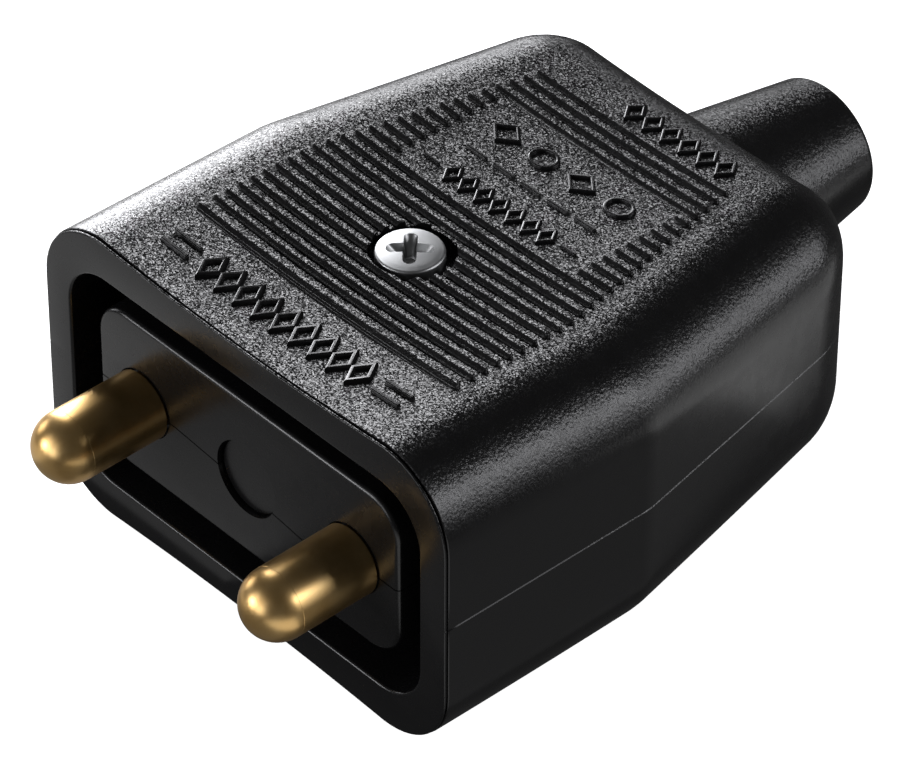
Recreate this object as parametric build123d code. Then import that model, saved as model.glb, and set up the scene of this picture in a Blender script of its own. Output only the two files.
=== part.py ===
from build123d import *
import os
from math import sqrt

os.makedirs("parts", exist_ok=True)

# ---------------------------------------------------------------- driving dimensions (mm)
# local frame while modelling: y = 0 on the open rim, z = 0 on the parting plane
# body envelope
body_half_front = 19.55    # half width at the rim
body_half_w = 19.70        # half width at the kink, where the body is widest
body_len = 42.45           # rim to rear face
kink_y = 17.80             # where the sides start to draw in
taper = 0.178              # side draw-in per mm of length
kink_r = 7.0               # softening of the kink
edge_r = 5.75              # rounding of the long, rear and corner edges
top_mid_front, top_mid_rear = 11.20, 10.17     # height of the top at x = 0
top_r_front, top_r_rear = 155.0, 180.0         # radius of the shallow dish across the top
bot_mid_front, bot_mid_kink, bot_mid_rear = 11.27, 11.25, 10.40
bot_r_front, bot_r_rear = 240.0, 260.0
# front lip
lip_half_w = 19.50
lip_len = 0.20
lip_mid = 11.25
lip_r = 200.0
lip_neck = 0.10            # shadow line behind the lip
lip_step = 0.12
lip_round = 0.10
# shroud opening and block
open_half_w, open_half_h, open_r = 17.08, 8.69, 3.8
groove_depth = 10.2
block_face_y = 0.40
block_half_w, block_top, block_bot, block_r = 14.72, 6.58, 6.36, 2.8
block_back_y = 12.0
dimple_r, dimple_depth = 2.745, 0.42
seam = [(-7.0, 0.0), (-3.04, -0.37), (1.69, -1.10), (5.25, -1.59), (8.40, -1.75), (9.0, 0.0)]
# chamber
wall = 2.25
chamber_end = 37.4
# grip ribs
rib_first_y, rib_first_w = 6.90, 0.98
rib_y0, rib_pitch, rib_w = 8.47, 1.0754, 0.62
rib_full_front, rib_short, rib_full_rear = 12, 9, 4
rib_rise_front, rib_rise_rear = 0.43, 0.27   # above the skin at x = 0, at the rim and at the rear face
rib_crest_r = 190.0
rib_half_front, rib_draw_y, rib_draw = 12.55, 17.07, 0.2016
window_half = 8.60
# pins
pin_x, pin_r, pin_tip_y = 10.30, 2.54, -5.92
pin_gap = 0.06
pin_shank_r, pin_wall_end = 2.00, 0.30   # inside the block the pin steps down to a thinner shank
barrel_r, barrel_y0, barrel_y1 = 3.4, 12.0, 20.5
# cover screw and nut
screw_y = 14.76
head_r, head_seat, head_rim, head_top = 2.34, 9.20, 11.30, 11.52
hole_r, hole_y = 2.95, 14.98   # the head stands a little forward in its clearance hole
shank_r = 1.70
nut_af, nut_z0, nut_z1 = 6.0, -10.85, -8.45
# cord clamp
clamp_y, clamp_x = 33.4, 7.2
post_top = 3.2
# sleeve
sleeve_bore_r = 3.6
sleeve_r_base, sleeve_r_end = 6.78, 5.01
sleeve_end = 53.55
flange_r, flange_y0, flange_y1 = 8.0, 37.4, 39.3
# placement in the shared frame
y_shift = -(sleeve_end + (pin_tip_y - pin_r)) / 2.0
z_shift = 11.70


# ---------------------------------------------------------------- helpers
def section(y, half, mid_t, r_t, mid_b, r_b):
    zt = mid_t + half * half / (2 * r_t)
    zb = -(mid_b + half * half / (2 * r_b))
    return Wire([
        Edge.make_three_point_arc((-half, y, zt), (0, y, mid_t), (half, y, zt)),
        Edge.make_line((half, y, zt), (half, y, zb)),
        Edge.make_three_point_arc((half, y, zb), (0, y, -mid_b), (-half, y, zb)),
        Edge.make_line((-half, y, zb), (-half, y, zt)),
    ])


def lerp(a, b, y):
    return a + (b - a) * y / body_len


def bot_mid(y):
    # soft curve along the length, through the rim, the kink and the rear face
    s1 = (bot_mid_kink - bot_mid_front) / kink_y
    s2 = (bot_mid_rear - bot_mid_front) / body_len
    b = (s2 - s1) / (body_len - kink_y)
    return bot_mid_front + (s1 - b * kink_y) * y + b * y * y


def slab(y0, y1, half, rise_t=0.0, rise_b=0.0):
    ys = [y0, (y0 + y1) / 2, y1]
    return Part() + Solid.make_loft([
        section(y, half, lerp(top_mid_front, top_mid_rear, y) + rise_t, lerp(top_r_front, top_r_rear, y),
                bot_mid(y) + rise_b, lerp(bot_r_front, bot_r_rear, y)) for y in ys])


def plan(y0, y1, inset):
    w = body_half_w - inset
    wf = w - (body_half_w - body_half_front) * (kink_y - y0) / kink_y
    we = w - taper * (y1 - kink_y)
    f = make_face(Polyline((-wf, y0), (wf, y0), (w, kink_y), (we, y1), (-we, y1), (-w, kink_y), close=True))
    kinks = [v for v in f.vertices() if abs(v.Y - kink_y) < 0.01]
    f = fillet(kinks, kink_r)
    return extrude(f, 20, both=True)


def rounded_box(y0, y1, inset, drop, r):
    s = slab(y0, y1, body_half_w + 1, -drop, -drop) & plan(y0, y1, inset)
    picks = []
    for e in s.edges():
        c = e.center()
        bb = e.bounding_box()
        on_front = bb.max.Y < y0 + 0.01
        upright = bb.size.Z > 5 and bb.size.X < 0.01 and bb.size.Y < 0.01
        at_rear = bb.min.Y > y1 - 0.01
        if on_front:
            continue
        if upright and not at_rear:
            continue
        picks.append(e)
    return fillet(picks, r)


def ring_profile(half_w, zt, zb, r, y0, y1):
    f = RectangleRounded(2 * half_w, zt + zb, r)
    return Plane(origin=(0, y0, (zt - zb) / 2), x_dir=(1, 0, 0), z_dir=(0, 1, 0)) * extrude(f, y1 - y0)


def plate(y0, y1, half, mid_t, mid_b):
    f = Sketch() + make_face(section(y0, half, mid_t, lip_r, mid_b, bot_r_front))
    f = fillet(f.vertices(), edge_r)
    return extrude(f, amount=y1 - y0, dir=(0, 1, 0))


def cyl_y(r, y0, y1, x=0.0, z=0.0):
    return Plane(origin=(x, y0, z), x_dir=(1, 0, 0), z_dir=(0, 1, 0)) * extrude(Circle(r), y1 - y0)


def cyl_z(r, z0, z1, x=0.0, y=0.0):
    return Pos(x, y, z0) * extrude(Circle(r), z1 - z0)


def box(x0, x1, y0, y1, z0, z1):
    return Pos((x0 + x1) / 2, (y0 + y1) / 2, (z0 + z1) / 2) * Box(x1 - x0, y1 - y0, z1 - z0)


# ---------------------------------------------------------------- body envelope
skin = rounded_box(lip_len, body_len, 0.0, 0.0, edge_r)

lip = plate(0.0, lip_len, lip_half_w, lip_mid, bot_mid_front)
front_loop = [e for e in lip.edges() if e.bounding_box().max.Y < 0.01]
lip = fillet(front_loop, lip_round)
neck = plate(lip_len, lip_len + lip_neck, lip_half_w - lip_step, lip_mid - 0.3, bot_mid_front - lip_step)
skin = skin & box(-30, 30, lip_len + lip_neck, 60, -30, 30)
envelope = lip + neck + skin

# ---------------------------------------------------------------- grip ribs (top)
def rib_half(y):
    return rib_half_front - rib_draw * max(y - rib_draw_y, 0.0)


def rib_bar(xa, xb, y, w):
    f = SlotOverall(xb - xa, w)
    return Pos((xa + xb) / 2, y + w / 2, 9.9) * extrude(f, 3.0)


bars = []
bars.append(rib_bar(-rib_half(rib_first_y), rib_half(rib_first_y), rib_first_y, rib_first_w))
y = rib_y0
for i in range(rib_full_front):
    bars.append(rib_bar(-rib_half(y), rib_half(y), y, rib_w))
    y += rib_pitch
for i in range(rib_short):
    bars.append(rib_bar(-rib_half(y), -window_half, y, rib_w))
    bars.append(rib_bar(window_half, rib_half(y), y, rib_w))
    y += rib_pitch
for i in range(rib_full_rear):
    bars.append(rib_bar(-rib_half(y), rib_half(y), y, rib_w))
    y += rib_pitch
crest = Part() + Solid.make_loft([
    section(y, 18.0, lerp(top_mid_front + rib_rise_front, top_mid_rear + rib_rise_rear, y), rib_crest_r,
            5.0, bot_r_front) for y in (5.0, 40.0)], ruled=True)
ribs = Part() + [b & crest for b in bars]

# ---------------------------------------------------------------- hollow body
body = envelope + ribs
opening = ring_profile(open_half_w, open_half_h, open_half_h, open_r, -1.0, groove_depth)
body = body - opening
block = ring_profile(block_half_w, block_top, block_bot, block_r, block_face_y, groove_depth + 0.5)
block = fillet([e for e in block.edges() if e.bounding_box().max.Y < block_face_y + 0.01], 0.38)
body = body + block
chamber = rounded_box(block_back_y, chamber_end, wall, wall, 3.2)
body = body - chamber

# screw boss, pin cradles, clamp posts
inner = rounded_box(block_back_y - 0.8, chamber_end + 0.8, wall - 0.6, wall - 0.6, 3.2)
boss = cyl_z(4.3, -12, 12, 0, screw_y) & inner
cradles = Part()
for s in (-1, 1):
    cx = s * pin_x
    cradles += box(cx - 4.1, cx + 4.1, block_back_y - 0.5, 21.6, -12, -0.10) - \
        box(cx - 5, cx + 5, barrel_y1, 22.5, -1.6, 1)
    cradles += box(cx - 3.2, cx + 3.2, block_back_y - 0.5, 13.5, 0.10, 12)
    cradles -= cyl_y(barrel_r + 0.04, barrel_y0, barrel_y1, cx, 0)
cradles = cradles & inner
posts = Part()
for s in (-1, 1):
    posts += box(s * clamp_x - 2.4, s * clamp_x + 2.4, clamp_y - 2.2, clamp_y + 2.2, -12, post_top)
posts += box(-6.0, 6.0, clamp_y - 2.2, clamp_y + 2.2, -12, -5.6)
posts -= cyl_y(4.1, clamp_y - 3, clamp_y + 3, 0, -0.4)
posts = posts & inner

body = body + boss + cradles
# bores shared by both shells
for s in (-1, 1):
    body -= cyl_y(pin_r + pin_gap, -1, block_face_y + 0.8, s * pin_x, 0)
    body -= cyl_y(pin_shank_r + 0.02, 0.5, block_back_y + 0.3, s * pin_x, 0)
body -= cyl_z(shank_r + 0.15, -14, 14, 0, screw_y)
body -= cyl_z(hole_r, head_seat, 14, 0, hole_y)
hexagon = Pos(0, screw_y, -14) * extrude(RegularPolygon((nut_af + 0.16) / 2, 6, major_radius=False), 14 + nut_z1)
body -= hexagon
body -= cyl_y(dimple_r + 0.04, -1, block_face_y + dimple_depth, 0, 0)
body -= cyl_y(flange_r + 0.05, flange_y0 - 0.2, flange_y1, 0, 0)
body -= cyl_y(sleeve_r_base + 0.05, flange_y0, 45, 0, 0)

# ---------------------------------------------------------------- split into the two shells
upper = box(-40, 40, -5, 60, 0, 30)
tongue = extrude(Plane(origin=(0, -1, 0), x_dir=(1, 0, 0), z_dir=(0, -1, 0)) *
                 make_face(Polyline(*seam, close=True)), -11.8)
upper = upper + tongue + cyl_y(dimple_r, -1, 10.8, 0, 0)
top_cover = body & upper
base = body - upper
relief = cyl_y(dimple_r + 0.04, -1, 10.84, 0, 0) & box(-5, 5, -2, 12, -5, -0.2)
base = base - relief
base = base + (posts - cyl_z(1.32, -7.5, 20, clamp_x, clamp_y) - cyl_z(1.32, -7.5, 20, -clamp_x, clamp_y))


def biggest(shape):
    sol = sorted(shape.solids(), key=lambda q: -q.volume)
    return sol[0]


top_cover = biggest(top_cover)
base = biggest(base)


# ---------------------------------------------------------------- pins
def pin(x):
    prof = make_face(
        Polyline((0, pin_tip_y), (pin_r, pin_tip_y), (pin_r, pin_wall_end), (pin_shank_r, pin_wall_end),
                 (pin_shank_r, barrel_y0), (barrel_r - 0.25, barrel_y0),
                 (barrel_r, barrel_y0 + 0.25), (barrel_r, barrel_y1 - 0.25), (barrel_r - 0.25, barrel_y1),
                 (0, barrel_y1), close=True))
    p = revolve(prof, Axis.Y)
    p = p + Pos(0, pin_tip_y, 0) * Sphere(pin_r)
    p = p - cyl_y(1.55, barrel_y1 - 7.0, barrel_y1 + 1)
    p = p - cyl_z(1.50, 0, 6, 0, 16.6)
    return biggest(Pos(x, 0, 0) * p)


left_pin = pin(-pin_x)
right_pin = pin(pin_x)


def slotted_screw(x, y, z0, z1, zh, rs, rh):
    s = cyl_z(rs, z0, z1, x, y) + cyl_z(rh, z1, zh, x, y)
    top = [e for e in s.edges() if e.bounding_box().min.Z > zh - 0.01]
    s = fillet(top, 0.25)
    s = s - box(x - rh - 1, x + rh + 1, y - 0.3, y + 0.3, zh - 0.7, zh + 1)
    return biggest(s)


terminal = [slotted_screw(s * pin_x, 16.6, 0.9, 3.5, 5.0, 1.46, 2.3) for s in (-1, 1)]
terminal_screws = Compound(children=terminal)

# ---------------------------------------------------------------- cover screw and nut
dome_h = head_top - head_rim
dome_r = (head_r ** 2 + dome_h ** 2) / (2 * dome_h)
screw = cyl_z(shank_r, -10.95, head_seat, 0, screw_y) + cyl_z(head_r, head_seat, head_top + 0.2, 0, screw_y)
screw = screw & (Pos(0, screw_y, head_top - dome_r) * Sphere(dome_r) + box(-5, 5, 5, 25, -20, 8))
screw = screw & (cyl_z(head_r, head_seat, 20, 0, screw_y) + cyl_z(shank_r, -20, head_seat, 0, screw_y))
rim_edges = [e for e in screw.edges() if e.bounding_box().min.Z > head_rim - 0.1 and e.bounding_box().size.X > 4]
screw = fillet(rim_edges, 0.22)
cross = Part()
for a in (45, 135):
    arm = Pos(0, screw_y, head_top - 0.55) * Rot(0, 0, a) * Box(2.9, 0.70, 1.6)
    cross += arm
cross += Pos(0, screw_y, head_top - 1.3) * extrude(Circle(0.62), 2.0)
screw = screw - cross
cover_screw = biggest(screw)

nut = Pos(0, screw_y, nut_z0) * extrude(RegularPolygon(nut_af / 2, 6, major_radius=False), nut_z1 - nut_z0)
nut = nut & (cyl_z(3.35, nut_z0, nut_z1, 0, screw_y))
nut = nut - cyl_z(shank_r + 0.02, -14, 0, 0, screw_y)
cover_nut = biggest(nut)

# ---------------------------------------------------------------- cord clamp
bar = box(-9.4, 9.4, clamp_y - 2.0, clamp_y + 2.0, post_top, post_top + 1.6)
bar = fillet(bar.edges().filter_by(Axis.Z), 1.6)
bar += box(-3.0, 3.0, clamp_y - 0.8, clamp_y + 0.8, post_top - 0.7, post_top + 0.2)
for s in (-1, 1):
    bar -= cyl_z(1.55, -5, 20, s * clamp_x, clamp_y)
cord_clamp = biggest(bar)
clamps = [slotted_screw(s * clamp_x, clamp_y, -6.5, post_top + 1.6, post_top + 3.1, 1.28, 2.2) for s in (-1, 1)]
clamp_screws = Compound(children=clamps)

# ---------------------------------------------------------------- sleeve
prof = make_face(Polyline(
    (sleeve_bore_r, flange_y0), (flange_r, flange_y0), (flange_r, flange_y1), (sleeve_r_base, flange_y1),
    (sleeve_r_base, body_len - 0.2), (sleeve_r_end, sleeve_end), (sleeve_bore_r, sleeve_end), close=True))
sleeve = revolve(prof, Axis.Y)
end_edges = [e for e in sleeve.edges() if e.bounding_box().min.Y > sleeve_end - 0.01]
outer_end = [e for e in end_edges if e.bounding_box().size.X > 2 * sleeve_r_end - 0.5]
inner_end = [e for e in end_edges if e.bounding_box().size.X < 2 * sleeve_bore_r + 0.5]
sleeve = fillet(outer_end, 0.6)
inner_end = [e for e in sleeve.edges() if e.bounding_box().min.Y > sleeve_end - 0.01
             and e.bounding_box().size.X < 2 * sleeve_bore_r + 0.5]
sleeve = fillet(inner_end, 0.3)
cable_sleeve = biggest(sleeve)

# ---------------------------------------------------------------- placement and export
shift = Pos(0, y_shift, z_shift)
nodes = {
    "top_cover": top_cover,
    "base": base,
    "left_pin": left_pin,
    "right_pin": right_pin,
    "terminal_screws": terminal_screws,
    "cover_screw": cover_screw,
    "cover_nut": cover_nut,
    "cord_clamp": cord_clamp,
    "clamp_screws": clamp_screws,
    "cable_sleeve": cable_sleeve,
}
for name in nodes:
    placed = shift * nodes[name]
    export_step(placed, "parts/" + name + ".step")
    bb = placed.bounding_box()
    print(name, len(placed.solids()), placed.is_valid, round(placed.volume, 1),
          [round(v, 3) for v in (bb.min.X, bb.min.Y, bb.min.Z, bb.max.X, bb.max.Y, bb.max.Z)])
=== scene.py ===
import bpy
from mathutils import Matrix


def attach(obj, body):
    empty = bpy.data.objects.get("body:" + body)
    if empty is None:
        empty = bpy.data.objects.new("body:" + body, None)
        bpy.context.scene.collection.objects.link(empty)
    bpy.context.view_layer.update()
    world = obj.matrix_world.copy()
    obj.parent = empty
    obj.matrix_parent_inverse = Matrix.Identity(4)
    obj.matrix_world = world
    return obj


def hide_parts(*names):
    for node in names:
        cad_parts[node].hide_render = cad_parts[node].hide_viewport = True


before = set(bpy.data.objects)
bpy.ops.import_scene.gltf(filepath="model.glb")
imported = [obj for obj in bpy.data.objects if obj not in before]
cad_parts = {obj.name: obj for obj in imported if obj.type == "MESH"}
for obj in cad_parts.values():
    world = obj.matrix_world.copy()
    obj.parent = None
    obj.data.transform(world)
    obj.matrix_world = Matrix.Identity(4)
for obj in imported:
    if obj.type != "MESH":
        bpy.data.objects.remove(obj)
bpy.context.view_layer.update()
import bpy, bmesh, math
import numpy as np
from mathutils import Vector, Matrix

MM = 0.001
Y0, Z0 = -22.545, 11.70          # local modelling frame (rim at y 0, seam at z 0) to the row frame

# ------------------------------------------------------------------ sizes (mm), as in the part's source
HWF, HW, LEN, KINK, TAPER, ER = 19.55, 19.70, 42.45, 17.80, 0.178, 5.75
TM0, TM1, TR0, TR1 = 11.20, 10.17, 155.0, 180.0
BM0, BMK, BM1, BR0, BR1 = 11.27, 11.25, 10.40, 240.0, 260.0
LIP_HW, LIP_LEN, LIP_MID, LIP_R, LIP_NECK, LIP_STEP, LIP_ER = 19.50, 0.20, 11.25, 200.0, 0.10, 0.12, 0.10
OP_HW, OP_HH, OP_R, GROOVE = 17.08, 8.69, 3.8, 10.2
BF_Y, BL_HW, BL_T, BL_B, BL_R = 0.40, 14.72, 6.58, 6.36, 2.8
DIM_R, DIM_D = 2.745, 0.42
SEAM = [(-7.0, 0.0), (-3.04, -0.37), (1.69, -1.10), (5.25, -1.59), (8.40, -1.75), (9.0, 0.0)]
PIN_X, PIN_R, PIN_TIP = 10.30, 2.54, -5.92
SCREW_Y, HEAD_R, HEAD_SEAT, HEAD_RIM, HEAD_TOP, HOLE_R, HOLE_Y = 14.76, 2.34, 9.20, 11.30, 11.52, 2.95, 14.98


def lerp(a, b, y):
    return a + (b - a) * y / LEN


def half_w(y, inset=0.0):
    t, s, flare = y - KINK, 0.60, (HW - HWF) / KINK
    if t <= -s:
        d = flare * t
    elif t >= s:
        d = -TAPER * t
    else:
        d = flare * t - (flare + TAPER) * (t + s) ** 2 / (4 * s)
    return HW - inset + d


def top_z(x, y):
    return lerp(TM0, TM1, y) + x * x / (2 * lerp(TR0, TR1, y))


def bot_mid(y):
    s1, s2 = (BMK - BM0) / KINK, (BM1 - BM0) / LEN
    b = (s2 - s1) / (LEN - KINK)
    return BM0 + (s1 - b * KINK) * y + b * y * y


def bot_z(x, y):
    return -(bot_mid(y) + x * x / (2 * lerp(BR0, BR1, y)))


# ------------------------------------------------------------------ mesh helpers
def new_mesh(name, verts, faces):
    me = bpy.data.meshes.new(name)
    me.from_pydata([tuple(v) for v in verts], [], faces)
    me.validate()
    ob = bpy.data.objects.new(name, me)
    bpy.context.scene.collection.objects.link(ob)
    return ob


def to_row(ob):
    """local millimetres to the row frame in metres"""
    me = ob.data
    n = len(me.vertices)
    co = np.zeros(n * 3)
    me.vertices.foreach_get("co", co)
    co = co.reshape(-1, 3)
    co[:, 1] += Y0
    co[:, 2] += Z0
    co *= MM
    me.vertices.foreach_set("co", co.ravel())
    me.update()
    return ob


def fix_normals(ob, weld=True):
    """one closed surface, facing outwards"""
    bm = bmesh.new()
    bm.from_mesh(ob.data)
    if weld:
        bmesh.ops.remove_doubles(bm, verts=bm.verts, dist=2e-4)
        bmesh.ops.dissolve_degenerate(bm, edges=bm.edges, dist=1e-5)
    bmesh.ops.recalc_face_normals(bm, faces=bm.faces)
    if bm.calc_volume(signed=True) < 0:
        bmesh.ops.reverse_faces(bm, faces=bm.faces)
    bm.to_mesh(ob.data)
    bm.free()


def smooth(ob, deg=32.0):
    me = ob.data
    me.polygons.foreach_set("use_smooth", [True] * len(me.polygons))
    me.set_sharp_from_angle(angle=math.radians(deg))
    me.update()


def boolean(ob, tool, op="DIFFERENCE", keep=False):
    m = ob.modifiers.new("b", "BOOLEAN")
    m.operation = op
    m.solver = "EXACT"
    m.object = tool
    dg = bpy.context.evaluated_depsgraph_get()
    dg.update()
    me = bpy.data.meshes.new_from_object(ob.evaluated_get(dg))
    ob.modifiers.clear()
    old = ob.data
    ob.data = me
    bpy.data.meshes.remove(old)
    if not keep:
        bpy.data.objects.remove(tool)
    return ob


def join(name, parts):
    verts, faces, off = [], [], 0
    for p in parts:
        me = p.data
        verts += [tuple(v.co) for v in me.vertices]
        faces += [[off + i for i in f.vertices] for f in me.polygons]
        off += len(me.vertices)
        bpy.data.objects.remove(p)
    return new_mesh(name, verts, faces)


def copy_of(ob, name):
    o = ob.copy()
    o.data = ob.data.copy()
    o.name = name
    bpy.context.scene.collection.objects.link(o)
    return o


def prism(name, pts, y0, y1):
    """closed prism of an x, z outline between two y"""
    n = len(pts)
    v = [(x, y0, z) for x, z in pts] + [(x, y1, z) for x, z in pts]
    f = [list(range(n)), list(range(2 * n - 1, n - 1, -1))]
    for i in range(n):
        j = (i + 1) % n
        f.append([i, i + n, j + n, j])
    ob = new_mesh(name, v, f)
    fix_normals(ob)
    return ob


def revolve(name, prof, axis, centre, n=96):
    """closed ring of a (radius, height) outline; radius 0 points become poles"""
    verts, rings = [], []
    for r, h in prof:
        ring = []
        if r < 1e-6:
            ring.append(len(verts))
            verts.append(place(0, 0, h, axis, centre))
        else:
            for k in range(n):
                a = 2 * math.pi * k / n
                ring.append(len(verts))
                verts.append(place(r * math.cos(a), r * math.sin(a), h, axis, centre))
        rings.append(ring)
    faces = []
    closed = prof[0][0] > 1e-6 and prof[-1][0] > 1e-6
    pairs = list(zip(rings[:-1], rings[1:]))
    if closed:
        pairs.append((rings[-1], rings[0]))
    for a, b in pairs:
        if len(a) == 1 and len(b) == 1:
            continue
        for k in range(n):
            j = (k + 1) % n
            if len(a) == 1:
                faces.append([a[0], b[j], b[k]])
            elif len(b) == 1:
                faces.append([a[k], a[j], b[0]])
            else:
                faces.append([a[k], a[j], b[j], b[k]])
    ob = new_mesh(name, verts, faces)
    fix_normals(ob)
    return ob


def place(u, v, h, axis, c):
    if axis == "y":
        return (c[0] + u, c[1] + h, c[2] + v)
    return (c[0] + u, c[1] + v, c[2] + h)


def cyl(name, r, h0, h1, axis, centre, n=96):
    return revolve(name, [(0, h0), (r, h0), (r, h1), (0, h1)], axis, centre, n)


# ------------------------------------------------------------------ section loops of the body
NT, NC, NS = 36, 14, 3
SIDE, SEAM_D = 0.07, 0.045


def loop(w, ztop, zbot, r, groove=0.0):
    """points (x, z) and outward normals of a rounded section. ztop and zbot are functions of x."""
    pts, nrm = [], []

    def add(x, z, a, b):
        pts.append((x, z))
        nrm.append((a, b))
    xc = w - r
    for i in range(NT + 1):
        x = -xc + 2 * xc * i / NT
        add(x, ztop(x), 0, 1)
    zt, zb = ztop(xc) - r, zbot(xc) + r
    for i in range(1, NC + 1):
        a = math.pi / 2 * (1 - i / NC)
        add(xc + r * math.cos(a), zt + r * math.sin(a), math.cos(a), math.sin(a))
    side = [zt * .5, SIDE, 0.0, -SIDE, zb * .5]
    for z in side:
        add(w - (groove if z == 0.0 else 0.0), z, 1, 0)
    add(w, zb, 1, 0)
    for i in range(1, NC + 1):
        a = -math.pi / 2 * i / NC
        add(xc + r * math.cos(a), zb + r * math.sin(a), math.cos(a), math.sin(a))
    for i in range(1, NT + 1):
        x = xc - 2 * xc * i / NT
        add(x, zbot(x), 0, -1)
    for i in range(1, NC + 1):
        a = -math.pi / 2 * (1 - i / NC)
        add(-xc - r * math.cos(a), zb + r * math.sin(a), -math.cos(a), math.sin(a))
    for z in reversed(side):
        add(-w + (groove if z == 0.0 else 0.0), z, -1, 0)
    add(-w, zt, -1, 0)
    for i in range(1, NC):
        a = math.pi / 2 * i / NC
        add(-xc - r * math.cos(a), zt + r * math.sin(a), -math.cos(a), math.sin(a))
    return pts, nrm


def tube(name, loops):
    """loops of equal length, each [(x, y, z), ...], closed with a fan at both ends"""
    n = len(loops[0])
    verts, faces = [], []
    for lp in loops:
        verts += lp
    for k in range(len(loops) - 1):
        for i in range(n):
            j = (i + 1) % n
            faces.append([k * n + i, k * n + j, (k + 1) * n + j, (k + 1) * n + i])
    faces.append(list(range(n)))
    base = (len(loops) - 1) * n
    faces.append([base + i for i in range(n - 1, -1, -1)])
    ob = new_mesh(name, verts, faces)
    fix_normals(ob)
    return ob


def skin_loops(y_start, inset, drop, r, groove, y_end=LEN):
    """the outer skin from y_start to the middle of the rear face"""
    out = []
    yr = y_end - r
    ys = [y_start]
    y = y_start
    while y < yr - 0.8:
        y += 0.8 if abs(y + 0.4 - KINK) > 1.4 else 0.12
        ys.append(min(y, yr))
    if ys[-1] < yr:
        ys.append(yr)
    for y in ys:
        w = half_w(y, inset)
        pts, _ = loop(w, lambda x: top_z(x, y) - drop, lambda x: bot_z(x, y) + drop, r, groove)
        out.append([(x, y, z) for x, z in pts])
    # rear rounding: the core outline, thickened by a ball of radius r
    w = half_w(yr, inset)
    pts, nrm = loop(w, lambda x: top_z(x, yr) - drop, lambda x: bot_z(x, yr) + drop, r, 0.0)
    st = (TM0 - TM1) / LEN
    n_arc = 16
    for k in range(1, n_arc + 1):
        a = math.pi / 2 * k / n_arc
        lp = []
        for (x, z), (nx, nz) in zip(pts, nrm):
            cx, cz = x - r * nx, z - r * nz
            q = r - groove if nz == 0 and z == 0.0 else r
            lp.append((cx + q * math.cos(a) * (1 - TAPER * math.sin(a)) * nx,
                       yr + q * math.sin(a),
                       cz + r * math.cos(a) * (1 - st * math.sin(a)) * nz))
        out.append(lp)
    last = out[-1]
    for f in (0.7, 0.4, 0.15):
        out.append([(x * f, y if f == 0.7 else y_end, z * f) for x, y, z in last])
    return out


def rr_loop(w, zt, zb, r, y):
    pts, _ = loop(w, lambda x: zt, lambda x: -zb, r, 0.0)
    return [(x, y, z) for x, z in pts]


def lip_loop(d, y, z_extra=0.0):
    pts, _ = loop(LIP_HW - d, lambda x: LIP_MID - d + z_extra + x * x / (2 * LIP_R),
                  lambda x: -(BM0 - d + x * x / (2 * BR0)), ER, SEAM_D)
    return [(x, y, z) for x, z in pts]


body_loops = []
# pin block, from the middle of its face outwards
for f in (0.12, 0.45, 0.75):
    body_loops.append([(x * f, y, z * f) for x, y, z in rr_loop(BL_HW - 0.38, BL_T - 0.38, BL_B - 0.38, BL_R - 0.38, BF_Y)])
for k in range(0, 7):
    a = math.pi / 2 * k / 6
    d = 0.38 * (1 - math.sin(a))
    body_loops.append(rr_loop(BL_HW - d, BL_T - d, BL_B - d, BL_R - d, BF_Y + 0.38 * (1 - math.cos(a))))
body_loops.append(rr_loop(BL_HW, BL_T, BL_B, BL_R, 4.0))
body_loops.append(rr_loop(BL_HW, BL_T, BL_B, BL_R, GROOVE))
# groove floor and skirt inside
body_loops.append(rr_loop(OP_HW, OP_HH, OP_HH, OP_R, GROOVE))
body_loops.append(rr_loop(OP_HW, OP_HH, OP_HH, OP_R, 4.0))
for k in range(0, 6):
    a = math.pi / 2 * k / 5
    d = 0.22 * (1 - math.cos(a))
    body_loops.append(rr_loop(OP_HW + d, OP_HH + d, OP_HH + d, OP_R + d, 0.22 * (1 - math.sin(a))))
# rim face, lip, neck
for k in range(0, 6):
    a = math.pi / 2 * k / 5
    body_loops.append(lip_loop(LIP_ER * (1 - math.sin(a)), LIP_ER * (1 - math.cos(a))))
body_loops.append(lip_loop(0.0, LIP_LEN - 0.06))
body_loops.append(lip_loop(0.03, LIP_LEN - 0.015))
body_loops.append(lip_loop(0.07, LIP_LEN))
body_loops.append(lip_loop(LIP_STEP, LIP_LEN + 0.01, -0.18))
body_loops.append(lip_loop(LIP_STEP, LIP_LEN + LIP_NECK - 0.01, -0.18))
rear = skin_loops(LIP_LEN + LIP_NECK + 0.06, 0.0, 0.0, ER, SEAM_D)
y = LIP_LEN + LIP_NECK
p1, _ = loop(half_w(y) - 0.04, lambda x: top_z(x, y) - 0.04, lambda x: bot_z(x, y) + 0.04, ER, SEAM_D)
body_loops.append([(x, y, z) for x, z in p1])
body_loops += rear
whole = tube("whole", body_loops)

# ------------------------------------------------------------------ cavities and bores
boolean(whole, revolve("t", [(0, 36.0), (8.05, 36.0), (8.05, 39.3), (6.83, 39.3), (6.83, 45), (0, 45)], "y", (0, 0, 0), 120))
for s in (-1, 1):
    boolean(whole, revolve("t", [(0, -1), (PIN_R + 0.07, -1), (PIN_R + 0.07, 1.2), (2.03, 1.2), (2.03, 13.1), (0, 13.1)], "y", (s * PIN_X, 0, 0)))
boolean(whole, cyl("t", DIM_R + 0.05, -1, BF_Y + DIM_D, "y", (0, 0, 0), 96))
boolean(whole, revolve("t", [(DIM_R - 0.06, -1), (DIM_R + 0.10, -1), (DIM_R + 0.10, BF_Y + DIM_D + 0.35), (DIM_R - 0.06, BF_Y + DIM_D + 0.35)], "y", (0, 0, 0), 96))
boolean(whole, cyl("t", HOLE_R, HEAD_SEAT, 14, "z", (0, HOLE_Y, 0), 128))
boolean(whole, cyl("t", 6.08 / math.sqrt(3), -14, -8.45, "z", (0, SCREW_Y, 0), 6))
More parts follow.
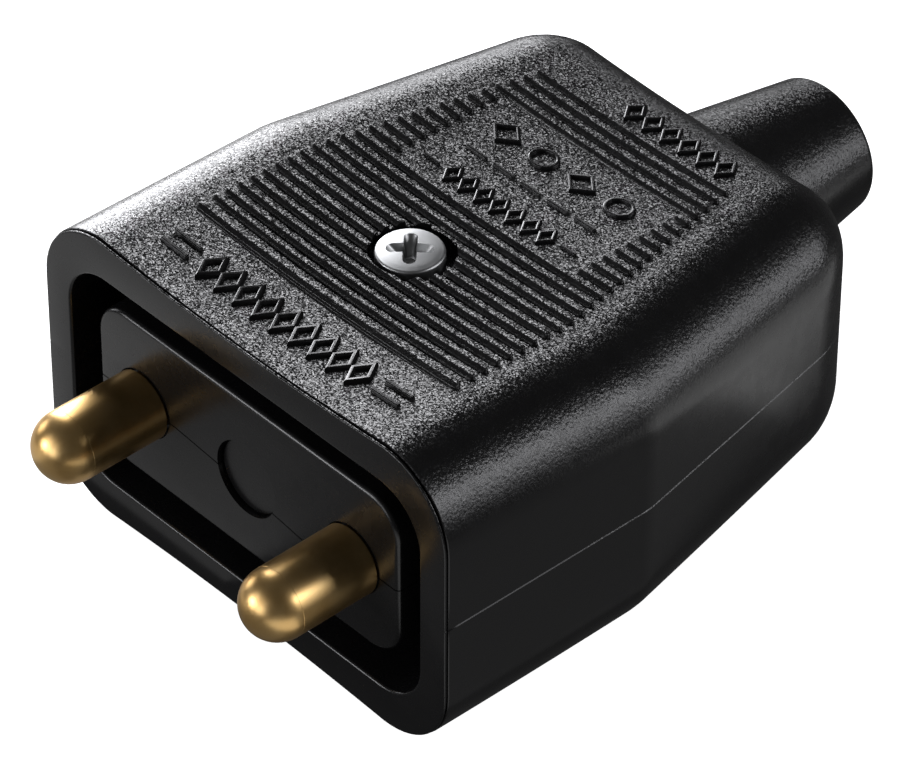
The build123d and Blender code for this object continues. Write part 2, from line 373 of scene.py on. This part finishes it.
cavity = tube("cavity", skin_loops(12.013, 2.25, 2.25, 3.2, 0.0, 37.41))
boolean(whole, cavity)
boolean(whole, cyl("t", 1.85, -8.9, 9.6, "z", (0, SCREW_Y, 0), 50))


def tongue_outline(gap, r, xa, xb):
    """outline in x, z of what belongs to the upper shell below z 0 at the block, round the dimple's core"""
    def seam_z(x):
        for (x0, z0), (x1, z1) in zip(SEAM[:-1], SEAM[1:]):
            if x0 <= x <= x1:
                return z0 + (z1 - z0) * (x - x0) / (x1 - x0) - gap
        return -gap

    def under(x):
        return -math.sqrt(max(r * r - x * x, 0.0))
    xl = -r
    while under(xl) > seam_z(xl):
        xl += 0.005
    xr = r
    while under(xr) > seam_z(xr):
        xr -= 0.005
    pts = [(xa, 1.0), (xa, -gap)]
    pts += [q for q in ((x, z - gap) for x, z in SEAM[:2]) if q[0] < xl - 0.05]
    a0, a1 = math.atan2(seam_z(xl), xl), math.atan2(seam_z(xr), xr)
    n = 40
    for k in range(n + 1):
        a = a0 + (a1 - a0) * k / n
        pts.append((r * math.cos(a), r * math.sin(a)))
    pts += [(x, z - gap) for x, z in SEAM[2:5] if x > xr + 0.05]
    pts += [(SEAM[5][0] + gap, -gap), (xb, -gap), (xb, 1.0)]
    return pts


top = copy_of(whole, "top_cover_skin")
tool = prism("tr", [(-40, 0), (40, 0), (40, 30), (-40, 30)], -5, 60)
boolean(tool, prism("ta", tongue_outline(0.0, DIM_R, -9.0, 9.2), -6, 10.8), "UNION")
boolean(top, tool, "INTERSECT")
base = copy_of(whole, "base_skin")
tool = prism("tc", [(-41, 0), (41, 0), (41, 31), (-41, 31)], -6, 61)
boolean(tool, prism("tb", tongue_outline(0.10, DIM_R + 0.05, -15.6, 15.6), -7, 10.84), "UNION")
boolean(base, tool, "DIFFERENCE")
bpy.data.objects.remove(whole)


# ------------------------------------------------------------------ grip ribs
RIB_Y, RIB_PITCH, RIB_W, RIB_R = 8.47, 1.0754, 0.62, 190.0
RISE0, RISE1, WINDOW = 0.43, 0.27, 8.60


def rib_half(y):
    return 12.55 - 0.2016 * max(y - 17.07, 0.0)


def crest(x, y):
    return lerp(TM0 + RISE0, TM1 + RISE1, y) + x * x / (2 * RIB_R)


def rib_profile(w):
    """depth below the crest from the front foot to the back foot: rounded lower edge, sloping front strip, tight back edge"""
    prof = [(-0.05, 1.0), (-0.012, 0.60), (0.0, 0.350), (0.010, 0.305), (0.030, 0.268), (0.062, 0.226), (0.098, 0.182), (0.130, 0.152)]
    prof += [(0.19, 0.108), (0.27, 0.050), (0.295, 0.028), (0.325, 0.013), (0.365, 0.003), (0.40, 0.0)]
    back = 0.06
    for k in range(5):
        t = math.pi / 2 * (1 - k / 4)
        prof.append((w - back * (1 - math.cos(t)), back * (1 - math.sin(t))))
    return prof + [(w + 0.012, 0.60), (w + 0.05, 1.0)]


def rib_bar(xa, xb, y0, w, steps=None):
    """one rib: rounded ends in plan that lean outwards to the foot, crest following the dish"""
    prof = steps if steps else rib_profile(w)
    half = w / 2
    n_mid, n_cap = max(2, int((xb - xa) / 0.8)), 9
    lean = 0.42
    stations = []
    for k in range(n_cap):
        t = math.pi / 2 * (1 - k / n_cap)
        stations.append((xa + half - half * math.sin(t), max(math.cos(t), 0.04), -1))
    for k in range(n_mid + 1):
        stations.append((xa + half + (xb - xa - w) * k / n_mid, 1.0, 0))
    for k in range(1, n_cap + 1):
        t = math.pi / 2 * k / n_cap
        stations.append((xb - half + half * math.sin(t), max(math.cos(t), 0.04), 1))
    verts, faces, m = [], [], len(prof)
    for x, s, end in stations:
        for py, dz in prof:
            yy = y0 + half + (py - half) * s
            edge = 0.16 * (1 - s) ** 2
            z = crest(x, yy) - dz - (edge if dz < 0.5 else 0.0)
            verts.append((x + end * lean * (1 - s) * min(dz, 1.0), yy, z))
    for i in range(len(stations) - 1):
        for j in range(m - 1):
            faces.append([i * m + j, (i + 1) * m + j, (i + 1) * m + j + 1, i * m + j + 1])
        faces.append([i * m + m - 1, (i + 1) * m + m - 1, (i + 1) * m, i * m])
    faces.append(list(range(m)))
    k = (len(stations) - 1) * m
    faces.append([k + i for i in range(m - 1, -1, -1)])
    ob = new_mesh("rib", verts, faces)
    fix_normals(ob, weld=False)
    return ob


ribs = []
st = [(-0.04, 1.0), (0.0, 0.47), (0.010, 0.425), (0.035, 0.395), (0.065, 0.378), (0.165, 0.325), (0.172, 0.305), (0.190, 0.286), (0.215, 0.272),
      (0.310, 0.222), (0.317, 0.200), (0.335, 0.180), (0.365, 0.163), (0.60, 0.030), (0.64, 0.012), (0.69, 0.0), (0.90, 0.0), (0.95, 0.02), (0.98, 0.07), (1.02, 1.0)]
front_rib = rib_bar(-rib_half(6.9), rib_half(6.9), 6.90, 0.98, st)
front_rib.name = "front_rib"
y = RIB_Y


def cut_for_hole(y):
    """half width of the screw hole's edge across a rib at y"""
    d = min(abs(y - HOLE_Y), abs(y + RIB_W - HOLE_Y)) if not (y < HOLE_Y < y + RIB_W) else 0.0
    return math.sqrt(HOLE_R ** 2 - d * d) if d < HOLE_R else 0.0


hole_ribs = []
for i in range(12):
    bar = rib_bar(-rib_half(y), rib_half(y), y, RIB_W)
    if cut_for_hole(y) > 0:
        hole_ribs.append(bar)
    else:
        ribs.append(bar)
    y += RIB_PITCH
for bar in hole_ribs:
    boolean(bar, cyl("t", HOLE_R, 6, 14, "z", (0, HOLE_Y, 0), 128))
    ribs.append(bar)
for i in range(9):
    ribs.append(rib_bar(-rib_half(y), -WINDOW, y, RIB_W))
    ribs.append(rib_bar(WINDOW, rib_half(y), y, RIB_W))
    y += RIB_PITCH
for i in range(4):
    ribs.append(rib_bar(-rib_half(y), rib_half(y), y, RIB_W))
    y += RIB_PITCH
rib_piece = join("grip_ribs", ribs)

# ------------------------------------------------------------------ plain raised figures (outlines and bars only)
def stroke(name, pts, w, h, closed=False, plain=False):
    """raised line over the dish: a path of x, y points with a soft-edged top; plain is not used"""
    n = len(pts)
    verts, faces = [], []
    side = []
    for i in range(n):
        q = np.array(pts[i], float)
        if closed:
            a, b = np.array(pts[i - 1], float), np.array(pts[(i + 1) % n], float)
        else:
            a, b = np.array(pts[max(i - 1, 0)], float), np.array(pts[min(i + 1, n - 1)], float)
        d1, d2 = q - a, b - q
        d1 = d1 / np.linalg.norm(d1) if np.linalg.norm(d1) > 1e-9 else None
        d2 = d2 / np.linalg.norm(d2) if np.linalg.norm(d2) > 1e-9 else None
        d1 = d2 if d1 is None else d1
        d2 = d1 if d2 is None else d2
        n1, n2 = np.array((-d1[1], d1[0])), np.array((-d2[1], d2[0]))
        m = n1 + n2
        m = m / np.linalg.norm(m)
        side.append((q, m / max(float(m @ n1), 0.5)))
    prof = [(-w / 2 - 0.06, -0.35), (-w / 2, h - 0.10), (-w / 2 + 0.03, h - 0.035), (-w / 2 + 0.09, h),
            (w / 2 - 0.09, h), (w / 2 - 0.03, h - 0.035), (w / 2, h - 0.10), (w / 2 + 0.06, -0.35)]
    m = len(prof)
    for q, nn in side:
        for off, z in prof:
            r = q + nn * off
            verts.append((r[0], r[1], top_z(r[0], r[1]) + z))
    for i in range(n if closed else n - 1):
        j = (i + 1) % n
        for k in range(m):
            l = (k + 1) % m
            faces.append([i * m + k, j * m + k, j * m + l, i * m + l])
    if not closed:
        faces.append(list(range(m)))
        faces.append([(n - 1) * m + k for k in range(m - 1, -1, -1)])
    ob = new_mesh(name, verts, faces)
    fix_normals(ob, weld=False)
    return ob


def lozenge(cx, cy, a, b, w=0.31, h=0.27):
    pts = [(cx - a, cy), (cx, cy - b), (cx + a, cy), (cx, cy + b)]
    return stroke("mark", pts, w, h, closed=True)


def ringlet(cx, cy, r, w=0.26, h=0.20, q=1.0):
    pts = [(cx + r * q * math.cos(2 * math.pi * k / 32), cy + r * math.sin(2 * math.pi * k / 32)) for k in range(32)]
    return stroke("mark", pts, w, h, closed=True)


def bar_mark(x0, x1, y, w=0.34, h=0.27):
    return stroke("mark", [(x0 + (x1 - x0) * k / 4, y) for k in range(5)], w, h)


marks = []
# front zone: a row of open lozenges between two pairs of bars
for k in range(9):
    marks.append(lozenge(-7.2 + 1.8 * k, 4.05, 0.74, 1.18))
for s in (-1, 1):
    marks += [bar_mark(s * 9.0 if s > 0 else -11.4, s * 11.4 if s > 0 else -9.0, yy) for yy in (3.45, 4.65)]
# window: ring, lozenges and bars in three rows
for k in range(7):
    marks.append(lozenge(-4.5 + 1.5 * k, 22.65, 0.57, 0.80, 0.25, 0.22))
for s in (-1, 1):
    marks.append(bar_mark(-7.2 if s < 0 else 5.9, -5.9 if s < 0 else 7.2, 22.65, 0.28, 0.22))
for k in range(5):
    marks.append(bar_mark(-6.1 + 2.6 * k, -4.3 + 2.6 * k, 25.45, 0.30, 0.22))
for k, x in enumerate((-5.4, -1.8, 1.8, 5.4)):
    marks.append(ringlet(x, 28.35, 0.88, 0.28, 0.23, 1.15) if k % 2 else lozenge(x, 28.35, 1.18, 0.98, 0.27, 0.23))
# rear zone: a short run of open lozenges
for k in range(6):
    marks.append(lozenge(-1.6 + 1.72 * k, 36.55, 0.68, 0.90, 0.26, 0.22))
mark_piece = join("raised_figures", marks)

# ------------------------------------------------------------------ pins
prof = [(0, PIN_TIP - PIN_R)]
for k in range(1, 25):
    a = math.pi / 2 * k / 24
    prof.append((PIN_R * math.sin(a), PIN_TIP - PIN_R * math.cos(a)))
prof[-1] = (PIN_R, PIN_TIP)
prof += [(PIN_R - 0.012, PIN_TIP + 0.02), (PIN_R - 0.012, PIN_TIP + 0.07), (PIN_R, PIN_TIP + 0.09),
         (PIN_R, 0.0), (PIN_R, 0.28), (PIN_R - 0.03, 0.30), (2.0, 0.30), (2.0, 12.0), (3.15, 12.0), (3.4, 12.25), (3.4, 20.25), (3.15, 20.5), (1.55, 20.5), (1.55, 13.5), (0, 13.5)]
pins = []
for nm, s in (("left_pin_turned", -1), ("right_pin_turned", 1)):
    p = revolve(nm, prof, "y", (s * PIN_X, 0, 0), 128)
    boolean(p, cyl("t", 1.5, 0, 6, "z", (s * PIN_X, 16.6, 0), 48))
    pins.append(p)

# ------------------------------------------------------------------ cover screw
dh = HEAD_TOP - HEAD_RIM
dr = (HEAD_R ** 2 + dh ** 2) / (2 * dh)
prof = [(0, -10.95), (1.55, -10.95), (1.7, -10.8), (1.7, HEAD_SEAT), (HEAD_R - 0.05, HEAD_SEAT), (HEAD_R, HEAD_SEAT + 0.05),
        (HEAD_R, HEAD_RIM - 0.18)]
for k in range(1, 7):
    a = math.pi / 2 * k / 6
    prof.append((HEAD_R - 0.2 * (1 - math.cos(a)), HEAD_RIM - 0.18 + 0.2 * math.sin(a)))
for k in range(1, 12):
    r = (HEAD_R - 0.2) * (1 - k / 12)
    prof.append((r, HEAD_TOP - dr + math.sqrt(dr * dr - r * r)))
prof.append((0, HEAD_TOP))
screw = revolve("cover_screw_head", prof, "z", (0, SCREW_Y, 0), 128)


def cross_tool(ang):
    """one tapered wing of the cross recess, with rounded ends"""
    rows = []
    for z, l, w in ((0.35, 1.74, 0.52), (-0.03, 1.62, 0.46), (-0.10, 1.55, 0.42), (-1.15, 0.66, 0.30)):
        row = []
        for s in (1, -1):
            for k in range(9):
                t = -math.pi / 2 + math.pi * k / 8
                row.append((s * (l - w + w * math.cos(t)), s * w * math.sin(t), z))
        rows.append(row)
    n = len(rows[0])
    v = [q for row in rows for q in row]
    f = [list(range(n)), list(range(4 * n - 1, 3 * n - 1, -1))]
    for k in range(3):
        for i in range(n):
            j = (i + 1) % n
            f.append([k * n + i, (k + 1) * n + i, (k + 1) * n + j, k * n + j])
    c, s = math.cos(math.radians(ang)), math.sin(math.radians(ang))
    v = [(x * c - y * s, SCREW_Y + x * s + y * c, HEAD_TOP - 0.05 + z) for x, y, z in v]
    ob = new_mesh("cross", v, f)
    fix_normals(ob)
    return ob


boolean(screw, cross_tool(45))
boolean(screw, cross_tool(135))
boolean(screw, revolve("t", [(0, HEAD_TOP - 1.5), (0.35, HEAD_TOP - 1.25), (0.72, HEAD_TOP + 0.3), (0, HEAD_TOP + 0.3)], "z", (0, SCREW_Y, 0), 40))

# ------------------------------------------------------------------ sleeve
SL = LEN - 0.2
prof = [(3.6, 37.4), (8.0, 37.4), (8.0, 39.3), (6.78, 39.3), (6.78, SL)]
e = 0.6
for k in range(0, 25):
    prof.append((6.78 + (5.01 - 6.78) * k / 24 * (52.95 - SL) / (53.55 - SL), SL + (52.95 - SL) * k / 24))
rc = prof[-1][0]
for k in range(1, 9):
    a = math.pi / 2 * k / 8
    prof.append((rc - e * (1 - math.cos(a)) - 0.05 * math.sin(a), 52.95 + e * math.sin(a)))
prof += [(3.85, 53.55), (3.68, 53.48), (3.6, 53.3)]
sleeve = revolve("sleeve_skin", prof, "y", (0, 0, 0), 160)

for o in [top, base, rib_piece, front_rib, mark_piece, screw, sleeve] + pins:
    to_row(o)
    smooth(o, 30)

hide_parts("top_cover")
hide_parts("base")
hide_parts("left_pin")
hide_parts("right_pin")
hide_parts("cover_screw")
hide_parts("cable_sleeve")


# ------------------------------------------------------------------ materials
def mat(name):
    m = bpy.data.materials.new(name)
    m.use_nodes = True
    nt = m.node_tree
    nt.nodes.clear()
    out = nt.nodes.new("ShaderNodeOutputMaterial")
    bs = nt.nodes.new("ShaderNodeBsdfPrincipled")
    nt.links.new(bs.outputs[0], out.inputs[0])
    return m, nt, bs


def node(nt, kind, **kw):
    n = nt.nodes.new(kind)
    for k, v in kw.items():
        if k in n.inputs.keys():
            n.inputs[k].default_value = v
        else:
            setattr(n, k, v)
    return n


def ramp(nt, src, a, b, va, vb):
    r = nt.nodes.new("ShaderNodeMapRange")
    r.inputs["From Min"].default_value = a
    r.inputs["From Max"].default_value = b
    r.inputs["To Min"].default_value = va
    r.inputs["To Max"].default_value = vb
    nt.links.new(src, r.inputs["Value"])
    return r.outputs[0]


def link_math(nt, op, a, b, clamp=False):
    n = nt.nodes.new("ShaderNodeMath")
    n.operation = op
    n.use_clamp = clamp
    for i, v in enumerate((a, b)):
        if isinstance(v, (int, float)):
            n.inputs[i].default_value = v
        else:
            nt.links.new(v, n.inputs[i])
    return n.outputs[0]


def shell_material(name, grained=1.0):
    """moulded black: sparkling spark-eroded grain on what faces up, leathery on the shoulders, plain on sides and rim"""
    m, nt, bs = mat(name)
    tc = node(nt, "ShaderNodeTexCoord")
    bs.inputs["Base Color"].default_value = (0.0062, 0.0060, 0.0064, 1)
    bs.inputs["Specular IOR Level"].default_value = 0.5
    geo = node(nt, "ShaderNodeNewGeometry")
    sep = nt.nodes.new("ShaderNodeSeparateXYZ")
    nt.links.new(geo.outputs["Normal"], sep.inputs[0])
    place_at = nt.nodes.new("ShaderNodeSeparateXYZ")
    nt.links.new(tc.outputs["Object"], place_at.inputs[0])
    outside = link_math(nt, "MAXIMUM", ramp(nt, place_at.outputs["Z"], 0.0187, 0.0190, 0.0, 1.0), ramp(nt, place_at.outputs["Y"], -0.0108, -0.0104, 0.0, 1.0))
    outside = link_math(nt, "MULTIPLY", outside, grained)
    up = link_math(nt, "MULTIPLY", ramp(nt, sep.outputs["Z"], 0.90, 0.975, 0.0, 1.0), outside)
    shoulder = link_math(nt, "MULTIPLY", ramp(nt, sep.outputs["Z"], 0.10, 0.45, 0.0, 1.0), outside)
    only = link_math(nt, "SUBTRACT", shoulder, up, clamp=True)
    # tiny facets: every cell of the grain leans its own way
    vor = node(nt, "ShaderNodeTexVoronoi", Scale=11500.0)
    nt.links.new(tc.outputs["Object"], vor.inputs["Vector"])
    cen = nt.nodes.new("ShaderNodeVectorMath")
    cen.operation = "SUBTRACT"
    nt.links.new(vor.outputs["Color"], cen.inputs[0])
    cen.inputs[1].default_value = (0.5, 0.5, 0.5)
    sca = nt.nodes.new("ShaderNodeVectorMath")
    sca.operation = "SCALE"
    nt.links.new(cen.outputs[0], sca.inputs[0])
    nt.links.new(link_math(nt, "ADD", link_math(nt, "MULTIPLY", up, 0.46), link_math(nt, "MULTIPLY", only, 0.12)), sca.inputs["Scale"])
    add = nt.nodes.new("ShaderNodeVectorMath")
    add.operation = "ADD"
    nt.links.new(geo.outputs["Normal"], add.inputs[0])
    nt.links.new(sca.outputs[0], add.inputs[1])
    nrm = nt.nodes.new("ShaderNodeVectorMath")
    nrm.operation = "NORMALIZE"
    nt.links.new(add.outputs[0], nrm.inputs[0])
    n3 = node(nt, "ShaderNodeTexNoise", Scale=4300.0, Detail=2.0, Roughness=0.6)
    nt.links.new(tc.outputs["Object"], n3.inputs["Vector"])
    n2 = node(nt, "ShaderNodeTexNoise", Scale=900.0, Detail=3.0, Roughness=0.5)
    nt.links.new(tc.outputs["Object"], n2.inputs["Vector"])
    relief = link_math(nt, "ADD", link_math(nt, "MULTIPLY", up, 0.14), link_math(nt, "MULTIPLY", only, 0.60))
    bump = node(nt, "ShaderNodeBump", Strength=1.0, Distance=0.00006)
    nt.links.new(link_math(nt, "MULTIPLY", n3.outputs["Fac"], relief), bump.inputs["Height"])
    nt.links.new(nrm.outputs[0], bump.inputs["Normal"])
    nt.links.new(bump.outputs[0], bs.inputs["Normal"])
    nt.links.new(ramp(nt, n2.outputs["Fac"], 0.3, 0.7, 0.24, 0.30), bs.inputs["Roughness"])
    return m


plain = shell_material("shell_plastic_plain", 0.12)
grain = shell_material("shell_plastic")


def brass_material():
    m, nt, bs = mat("pin_brass")
    bs.inputs["Metallic"].default_value = 1.0
    tc = node(nt, "ShaderNodeTexCoord")
    n1 = node(nt, "ShaderNodeTexNoise", Scale=260.0, Detail=5.0, Roughness=0.6)
    nt.links.new(tc.outputs["Object"], n1.inputs["Vector"])
    cr = nt.nodes.new("ShaderNodeValToRGB")
    cr.color_ramp.elements[0].position = 0.35
    cr.color_ramp.elements[0].color = (0.78, 0.475, 0.165, 1)
    cr.color_ramp.elements[1].position = 0.68
    cr.color_ramp.elements[1].color = (0.89, 0.605, 0.265, 1)
    nt.links.new(n1.outputs["Fac"], cr.inputs[0])
    nt.links.new(cr.outputs[0], bs.inputs["Base Color"])
    nt.links.new(ramp(nt, n1.outputs["Fac"], 0.3, 0.7, 0.29, 0.37), bs.inputs["Roughness"])
    return m


def steel_material():
    m, nt, bs = mat("zinc_steel")
    bs.inputs["Metallic"].default_value = 1.0
    tc = node(nt, "ShaderNodeTexCoord")
    n1 = node(nt, "ShaderNodeTexNoise", Scale=900.0, Detail=4.0, Roughness=0.6)
    nt.links.new(tc.outputs["Object"], n1.inputs["Vector"])
    cr = nt.nodes.new("ShaderNodeValToRGB")
    cr.color_ramp.elements[0].color = (0.33, 0.335, 0.34, 1)
    cr.color_ramp.elements[1].color = (0.48, 0.485, 0.485, 1)
    nt.links.new(n1.outputs["Fac"], cr.inputs[0])
    nt.links.new(cr.outputs[0], bs.inputs["Base Color"])
    nt.links.new(ramp(nt, n1.outputs["Fac"], 0.3, 0.7, 0.36, 0.48), bs.inputs["Roughness"])
    return m


brass, steel = brass_material(), steel_material()


def paint(ob, m):
    ob.data.materials.clear()
    ob.data.materials.append(m)


for o in (top, base, rib_piece, sleeve):
    paint(o, grain)
paint(mark_piece, plain)
paint(front_rib, grain)
for o in pins:
    paint(o, brass)
paint(screw, steel)
for o in (top, base, rib_piece, front_rib, mark_piece, screw, sleeve, *pins):
    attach(o, "root")
for nm, m in (("terminal_screws", steel), ("cover_nut", steel), ("clamp_screws", steel), ("cord_clamp", grain)):
    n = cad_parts[nm]
    n.data.materials.clear()
    n.data.materials.append(m)

# ------------------------------------------------------------------ floor, lights, camera
floor = new_mesh("floor", [(-3, -3, 0), (3, -3, 0), (3, 3, 0), (-3, 3, 0)], [[0, 1, 2, 3]])
fm, nt, bs = mat("floor_white")
bs.inputs["Roughness"].default_value = 0.9
tc = node(nt, "ShaderNodeTexCoord")
fn = node(nt, "ShaderNodeTexNoise", Scale=3.0)
nt.links.new(tc.outputs["Object"], fn.inputs["Vector"])
cr = nt.nodes.new("ShaderNodeValToRGB")
cr.color_ramp.elements[0].color = (0.88, 0.88, 0.88, 1)
cr.color_ramp.elements[1].color = (0.92, 0.92, 0.92, 1)
nt.links.new(fn.outputs["Fac"], cr.inputs[0])
nt.links.new(cr.outputs[0], bs.inputs["Base Color"])
bs.inputs["Emission Color"].default_value = (1, 1, 1, 1)
bs.inputs["Emission Strength"].default_value = 0.92
floor.data.materials.append(fm)
floor.visible_glossy = False
floor.visible_diffuse = False

world = bpy.data.worlds.new("w")
bpy.context.scene.world = world
world.use_nodes = True
world.node_tree.nodes["Background"].inputs[0].default_value = (1, 1, 1, 1)
world.node_tree.nodes["Background"].inputs[1].default_value = 0.05


def area(name, direction, dist, sx, sy, radiance, target=(0, 0, 0.012)):
    """a soft panel seen from the object in that direction, facing it"""
    l = bpy.data.lights.new(name, "AREA")
    l.shape = "RECTANGLE"
    l.size, l.size_y = sx, sy
    l.energy = radiance * math.pi * sx * sy
    o = bpy.data.objects.new(name, l)
    bpy.context.scene.collection.objects.link(o)
    d = Vector(direction).normalized()
    o.location = Vector(target) + d * dist
    o.rotation_euler = (-d).to_track_quat("-Z", "Y").to_euler()
    return o


def panel(name, az, el, dist, width, height, radiance):
    """a softbox at a bearing and a height seen from the object, in degrees"""
    a, e = math.radians(az), math.radians(el)
    o = area(name, (math.cos(a) * math.cos(e), math.sin(a) * math.cos(e), math.sin(e)), dist, width, height, radiance)
    o.data.color = (0.965, 0.968, 1.0)
    o.visible_camera = False
    return o


def bounce(name, x0, x1, y0, y1, radiance):
    """light that the table gives back beside the object"""
    o = area(name, (0, 0, -1), 0.0, x1 - x0, y1 - y0, radiance, ((x0 + x1) / 2, (y0 + y1) / 2, 0.0005))
    o.rotation_euler = (math.pi, 0, 0)
    o.visible_camera = False


# near softboxes at the left, which fall off along the shell
NS_ = 0.0412
panel("near_low", 164, 9, 0.13, NS_, NS_, 14.8)
panel("near_mid", 164, 27, 0.13, NS_, NS_, 4.8)
panel("near_top", 164, 45, 0.13, NS_, NS_, 4.0)
panel("near_rear", 146, 9, 0.13, NS_, NS_, 4.2)
panel("near_front", 200, 9, 0.13, NS_, NS_, 3.0)
# large ones further off
FW, FH = 0.2116, 0.1901
panel("back_left", 152, 27, 0.60, FW, FH, 6.75)
panel("back_left_low", 134, 9, 0.60, FW, FH, 1.9)
panel("back_right", 30, 27, 0.60, FW, FH, 6.3)
panel("back_right_low", 30, 9, 0.60, FW, FH, 1.34)
panel("back_mid_low", 52, 9, 0.60, FW, FH, 3.9)
panel("front_low", 270, 9, 0.60, FW, FH, 2.6)
panel("front_left_low", 247, 9, 0.60, FW, FH, 2.6)
panel("front_left", 245, 27, 0.60, FW, FH, 1.35)
panel("edge_light", 238, 11, 0.60, 0.17, 0.13, 9.0)
panel("near_fill", 153, 45, 0.13, 0.030, 0.030, 1.5)
panel("front", 270, 27, 0.60, FW, FH, 0.75)
bounce("table_left", -0.07, -0.022, -0.024, 0.03, 0.98)
bounce("table_front_left", -0.07, -0.022, -0.08, -0.024, 0.48)
bounce("table_front_right", 0.022, 0.07, -0.08, -0.024, 0.77)
bounce("table_back_right", 0.022, 0.07, 0.020, 0.07, 0.75)
bounce("table_right", 0.0215, 0.06, -0.024, 0.024, 0.09)
bounce("table_front", -0.0215, -0.008, -0.060, -0.030, 0.12)
bounce("table_front_mid", -0.008, 0.0215, -0.060, -0.030, 0.07)
bounce("table_under_pins", -0.0215, -0.003, -0.0300, -0.0235, 0.22)

cam = bpy.data.cameras.new("cam")
co = bpy.data.objects.new("cam", cam)
bpy.context.scene.collection.objects.link(co)
AZ, EL, RO = math.radians(47.389), math.radians(40.038), math.radians(0.214)
S = 1.03
back = np.array([math.sin(AZ) * math.cos(EL), -math.cos(AZ) * math.cos(EL), math.sin(EL)])
right = np.array([math.cos(AZ), math.sin(AZ), 0.0])
up = np.cross(back, right)
r2 = math.cos(RO) * right + math.sin(RO) * up
u2 = -math.sin(RO) * right + math.cos(RO) * up
C = back * 375.343 + right * -0.035 + up * -1.624 + np.array([0, 18.0, 0])
C = (C * S + np.array([0, Y0, Z0])) * MM
co.matrix_world = Matrix(((r2[0], u2[0], back[0], C[0]), (r2[1], u2[1], back[1], C[1]), (r2[2], u2[2], back[2], C[2]), (0, 0, 0, 1)))
cam.sensor_width = 36.0
cam.lens = 5825.502 / 904 * 36
cam.clip_start = 0.01
cam.clip_end = 10
bpy.context.scene.camera = co
bpy.context.scene.view_settings.view_transform = "Standard"
